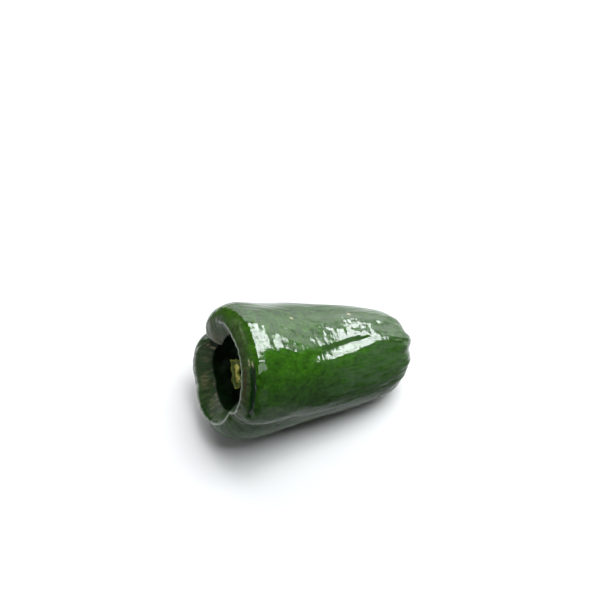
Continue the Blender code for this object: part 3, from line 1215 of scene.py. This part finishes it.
@dataclass(frozen=True)
class Calyx:
    """The calyx: a thin dished cap with blunt teeth, on the floor of the hollow."""

    radius: float = 10.4
    thickness: float = 1.8
    teeth: int = 5
    tooth_reach: float = 0.2
    gap: float = 0.3
    columns: int = 140
    step: float = 0.5
    veins: float = 0.18
    vein_count: int = 15
    lumps: Ripple = Ripple(0.25, along=3.0, around=8.0, seed=7.1)

    def build(self, pod: Pod, lie: Lie) -> Mesh:
        """Build the calyx's mesh.

        Args:
            pod: the pod whose hollow it follows.
            lie: how the pepper lies.

        Returns:
            The finished mesh in metres.
        """
        under = pod.cavity_depth - self.gap
        top = under - self.thickness
        points = (
            (under, 0), (under, 0.5 * self.radius), (under - 0.1, 0.8 * self.radius),
            (under - 0.6, 0.95 * self.radius), (top + 0.4, self.radius), (top, 0.9 * self.radius),
            (top, 0.5 * self.radius), (top, 0),
        )
        outline = smooth_outline(points, self.step)
        body = TurnedBody(outline, 0, self.columns)

        def place(spot: Spot) -> Point:
            """Shape one point: five teeth at the edge, set in the pod's hollow.

            Args:
                spot: the point to shape.

            Returns:
                Its new place along the axis and distance from it.
            """
            tooth = abs(math.cos(self.teeth * spot.angle / 2)) - 0.4
            outer = smooth_step(spot.radius, 0.6 * self.radius, self.radius)
            radius = spot.radius * (1 + self.tooth_reach * tooth * outer)
            return pod.place(spot._replace(radius=radius, way=-pod.cavity_depth))

        def height(spot: Spot) -> float:
            """Raise the veins and lumps of the upper face.

            Args:
                spot: the point to read.

            Returns:
                Its height above the smooth surface, in millimetres.
            """
            upper = smooth_step(spot.way, 1.2 * self.radius, 1.4 * self.radius)
            vein = self.veins * max(0.0, math.cos(self.vein_count * spot.angle)) ** 4
            return upper * (vein + self.lumps.at(spot.x, spot.angle, spot.radius))

        body.shape(place)
        body.ripple(height)
        return body.lay(lie)


@dataclass(frozen=True)
class Stem:
    """The stem: a short ribbed stub that widens to its rough cut end, with the pith set in."""

    end: float = 12.7
    end_radius: float = 7.6
    waist_radius: float = 5.6
    foot_radius: float = 6.6
    pith_radius: float = 4.0
    pith_depth: float = 1.9
    pith_toward: float = 55.0
    pith_offset: float = 0.38
    ribs: int = 5
    rib_height: float = 0.06
    rib_flare: float = 0.04
    jag: float = 0.5
    typical_radius: float = 8.0
    columns: int = 160
    step: float = 0.35
    torn: Ripple = Ripple(0.9, along=50.0, around=4.0, seed=5.3)
    cells: Ripple = Ripple(0.22, along=0.9, around=9.0, seed=17.9)
    bark: Ripple = Ripple(0.30, along=6.0, around=6.0, seed=29.3)

    def build(self, pod: Pod, calyx: Calyx, lie: Lie) -> Mesh:
        """Build the stem's mesh.

        Args:
            pod: the pod whose hollow it stands in.
            calyx: the calyx that it grows from.
            lie: how the pepper lies.

        Returns:
            The finished mesh in metres.
        """
        foot = pod.cavity_depth - 2 * calyx.gap - calyx.thickness
        points = (
            (foot, 0), (foot, 0.8 * self.foot_radius), (foot - 0.4, self.foot_radius),
            (foot - 2, self.waist_radius + 0.4), (foot - 5, self.waist_radius),
            (self.end + 3, 0.9 * self.end_radius), (self.end + 0.5, self.end_radius),
            (self.end - 0.1, self.end_radius - 0.5), (self.end, self.end_radius - 1.2),
            (self.end + 0.1, self.pith_radius + 1), (self.end + self.pith_depth, self.pith_radius),
            (self.end + self.pith_depth, self.pith_radius / 2), (self.end + self.pith_depth, 0),
        )
        outline = smooth_outline(points, self.step)
        crest = max(range(len(outline)), key=lambda index: outline[index][1])
        body = TurnedBody(outline, crest, self.columns)

        def place(spot: Spot) -> Point:
            """Shape one point: ribs down the side and a jagged rind at the cut.

            Args:
                spot: the point to shape.

            Returns:
                Its new place along the axis and distance from it.
            """
            x, radius, angle, _ = spot
            rib = math.cos(self.ribs * angle + 0.7) + 0.5 * math.sin(2 * angle + 1.1)
            near_end = 1 - smooth_step(x, self.end, self.end + 6)
            rind = smooth_step(radius, self.pith_radius, self.waist_radius)
            jagged = self.jag * math.sin(7 * angle) + 0.8 * self.jag * math.sin(3 * angle + 2)
            jagged += self.torn.at(0, angle, self.typical_radius)
            toward = math.cos(angle - math.radians(self.pith_toward))
            radius *= 1 + self.pith_offset * near_end * toward * bell(radius, self.pith_radius, 1.6)
            raised = (self.rib_height + self.rib_flare * near_end) * rib * rind
            return x + near_end * rind * jagged, radius * (1 + raised)

        def height(spot: Spot) -> float:
            """Roughen the cut face, and draw fibres down the side.

            Args:
                spot: the point to read.

            Returns:
                Its height above the smooth surface, in millimetres.
            """
            cut = smooth_step(spot.way, 0.5, 2)
            side = (1 - cut) * self.bark.at(spot.x, spot.angle, self.typical_radius)
            return cut * self.cells.at(spot.radius, spot.angle, spot.radius) + side

        body.shape(place)
        body.ripple(height)
        return body.lay(lie)


class Reach(Enum):
    """What a softbox is for: broad light on surfaces, or a clear shape in the gloss."""

    LIGHT = "light"
    GLOSS = "gloss"


@dataclass(frozen=True)
class SoftBox:
    """A rectangular softbox that faces the pepper, split into panes. Lengths are in metres."""

    # An area light's watts for each square metre and unit of radiance.
    RADIANCE_WATTS = 4

    name: str
    toward: Triple
    width: float
    height: float
    distance: float
    radiance: float
    reach: Reach
    panes: tuple[int, int] = (1, 1)
    bar: float = 0.0
    tint: Color = (0.94, 0.97, 1.0)

    def build(self, aim: Vector) -> None:
        """Hang the softbox.

        Args:
            aim: the point that it faces.
        """
        across, up = self.panes
        width, height = self.width / across, self.height / up
        light = bpy.data.lights.new(self.name, "AREA")
        light.shape = "RECTANGLE"
        light.size, light.size_y = width - self.bar, height - self.bar
        light.energy = self.RADIANCE_WATTS * light.size * light.size_y * self.radiance
        light.color = self.tint
        out = Vector(self.toward).normalized()
        turn = out.to_track_quat("Z", "Y")
        for column in range(across):
            for row in range(up):
                pane = Vector(((column + 0.5 - across / 2) * width, (row + 0.5 - up / 2) * height, 0))
                box = new_object(f"{self.name}_{column}_{row}", light)
                box.location = aim + out * self.distance + turn @ pane
                box.rotation_mode = "QUATERNION"
                box.rotation_quaternion = turn
                box.visible_camera = False
                box.visible_glossy = self.reach is Reach.GLOSS
                box.visible_diffuse = self.reach is Reach.LIGHT
        log.info("softbox %s: %d panes of %.1f W", self.name, across * up, light.energy)


@dataclass(frozen=True)
class Studio:
    """A pale table, soft lights and the camera at the photograph's viewing angle."""

    azimuth: float = -20.0
    elevation: float = 49.0
    lens: float = 100.0
    sensor: float = 36.0
    distance: float = 0.835
    crown_pixel: Point = (211.5, 376.5)
    aim_height: float = 0.03
    table: Color = (0.74, 0.74, 0.73)
    table_shade: Color = (0.055, 0.064, 0.050)
    table_size: float = 2.2
    front_light_pool: Triple = (-0.025, -0.085, 0.0)
    dark: float = 0.05
    dim: float = 0.45
    bright: float = 1.9
    high_bright: float = 4.5
    wall_tint: Color = (0.975, 0.965, 1.0)
    backdrop: Color = (0.88, 0.90, 0.90)
    back_toward: Triple = (0.60, 0.80, 0.0)
    left: Triple = (-0.95, 0.30, 0.0)
    front: Triple = (-0.12, -0.99, 0.0)
    front_glow: float = 0.70
    boxes: tuple[SoftBox, ...] = (
        SoftBox("window_box", (0.46, 0.15, 0.875), 1.18, 0.94, 1.1, 27.0, Reach.GLOSS, (3, 5), 0.030),
        SoftBox("low_box", (0.14, -0.63, 0.76), 0.85, 0.34, 1.1, 4.5, Reach.GLOSS),
        SoftBox("key_box", (0.30, -0.12, 0.95), 0.9, 0.9, 1.2, 6.2, Reach.LIGHT),
        SoftBox("left_box", (-0.93, 0.10, 0.30), 0.8, 0.6, 1.1, 0.9, Reach.LIGHT),
    )

    def build(self, lie: Lie) -> None:
        """Set up the table, the world, the lights and the camera.

        Args:
            lie: how the pepper lies.
        """
        self.lay_table()
        self.fill_world()
        for box in self.boxes:
            box.build(Vector((0, 0, self.aim_height)))
        self.set_camera(lie.crown)
        bpy.context.scene.view_settings.view_transform = "Standard"

    def lay_table(self) -> None:
        """Lay a wide table top under the pepper, pale to the camera. To reflected and bounced rays it is
        dark, as painted shade, except near the pepper, behind it and in a small pool of painted light in
        front.
        """
        sheet = bmesh.new()
        bmesh.ops.create_grid(sheet, x_segments=1, y_segments=1, size=self.table_size / 2)
        bench = FinishBench("table_paint", roughness=0.9)
        place = bench.add("ShaderNodeTexCoord").outputs["Object"]
        near = bench.rise(bench.vector("LENGTH", place), 0.14, 0.20, 1.0, 0.0)
        ahead = bench.rise(bench.vector("DOT_PRODUCT", place, (0.4, -0.9, 0.0)), 0.02, 0.06, 1.0, 0.0)
        light_pool = bench.rise(bench.vector("DISTANCE", place, self.front_light_pool), 0.025, 0.05, 0.7, 0.0)
        behind = bench.rise(bench.facing(bench.vector("NORMALIZE", place), self.back_toward), 0.57, 0.63)
        bright = bench.math("MAXIMUM", bench.math("MAXIMUM", bench.times(near, ahead), light_pool), behind)
        # painted shade and light in reflections: dark table, bright near and behind the pepper and in a small
        # pool in front
        reflected = bench.mix(bright, self.table_shade, self.table)
        bench.give(bench.inputs["Base Color"], bench.for_camera(self.table, reflected))
        table = new_solid("table_top", sheet, bench.material)
        table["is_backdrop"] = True

    def fill_world(self) -> None:
        """Light the room softly, brighter behind the pepper, with a pale view to the camera."""
        world = bpy.data.worlds.new("studio_room")
        world.use_nodes = True
        bpy.context.scene.world = world
        bench = NodeBench(world.node_tree)
        toward = bench.add("ShaderNodeTexCoord").outputs["Generated"]
        height = bench.add("ShaderNodeSeparateXYZ", {"Vector": toward}).outputs["Z"]
        level = bench.vector("NORMALIZE", bench.vector("MULTIPLY", toward, (1.0, 1.0, 0.0)))
        behind = bench.facing(level, self.back_toward)
        beside, ahead = bench.facing(level, self.left), bench.facing(level, self.front)
        lift = bench.rise(beside, -0.32, -0.15, 0.0, 0.16)
        top = bench.rise(bench.math("SUBTRACT", height, lift), 0.50, 0.57, 1.0, 0.0)
        glow = bench.rise(height, 0.06, 0.42, self.bright, self.high_bright)
        wall = bench.times(bench.rise(behind, 0.52, 0.68), top, glow)
        room = bench.times(bench.rise(beside, 0.78, 0.90, self.dark, self.dim),
                           bench.rise(height, 0.2, 0.8, 1.0, 0.4))
        fill = bench.times(bench.rise(ahead, 0.86, 0.93, 0.0, self.front_glow),
                           bench.rise(height, 0.10, 0.30, 1.0, 0.0))
        light = bench.gray(bench.math("MAXIMUM", wall, bench.math("MAXIMUM", room, fill)))
        light = bench.mix(1.0, light, self.wall_tint, "MULTIPLY")
        background = world.node_tree.nodes["Background"]
        bench.give(background.inputs["Color"], bench.for_camera(self.backdrop, light))

    def set_camera(self, crown: Vector) -> None:
        """Place the camera so that the crown's middle falls on its pixel.

        Args:
            crown: the middle of the pepper's crown, in metres.
        """
        turn, tilt = math.radians(self.azimuth), math.radians(self.elevation)
        back = Vector((math.sin(turn) * math.cos(tilt), -math.cos(turn) * math.cos(tilt), math.sin(tilt)))
        right = Vector((math.cos(turn), math.sin(turn), 0))
        up = back.cross(right)
        per_pixel = self.distance * self.sensor / self.lens / PHOTO_PIXELS
        across = (self.crown_pixel[0] - PHOTO_PIXELS / 2) * per_pixel
        above = (PHOTO_PIXELS / 2 - self.crown_pixel[1]) * per_pixel
        lens = bpy.data.cameras.new("photo_camera")
        lens.lens, lens.sensor_width = self.lens, self.sensor
        lens.clip_start = 0.01
        camera = new_object("photo_camera", lens)
        camera.matrix_world = Matrix((right, up, back)).transposed().to_4x4()
        camera.location = crown - right * across - up * above + back * self.distance
        bpy.context.scene.camera = camera


def write_sizes(boxes: dict[str, Iterable[Vector]]) -> None:
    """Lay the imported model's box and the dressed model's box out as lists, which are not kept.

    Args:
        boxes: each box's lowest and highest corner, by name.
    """
    {name: [list(corner) for corner in box] for name, box in boxes.items()}


def main() -> None:
    """Build and dress the pepper, and set up the studio."""
    logging.basicConfig(level=logging.INFO, format="%(name)s: %(message)s")
    packed_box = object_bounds()

    pod, calyx, stem = Pod(), Calyx(), Stem()
    body, lie = pod.build()
    groups = SkinGroups(lie)
    pod_skin = PodSkin("glossy_green_skin", roughness=0.05, refraction=1.36)
    calyx_skin = CalyxSkin("dull_green_calyx", roughness=0.5, refraction=1.4)
    stem_cut = StemCut("cut_stem_and_pith", roughness=0.7, refraction=1.4)
    add_piece("pepper_pod", body, pod_skin.build(groups), "pod")
    add_piece("pepper_calyx", calyx.build(pod, lie), calyx_skin.build(groups), "calyx")
    add_piece("pepper_stem", stem.build(pod, calyx, lie), stem_cut.build(groups), "stem")
    Studio().build(lie)
    write_sizes({"packed": packed_box, "dressed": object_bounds()})


if __name__ == "__main__":
    main()
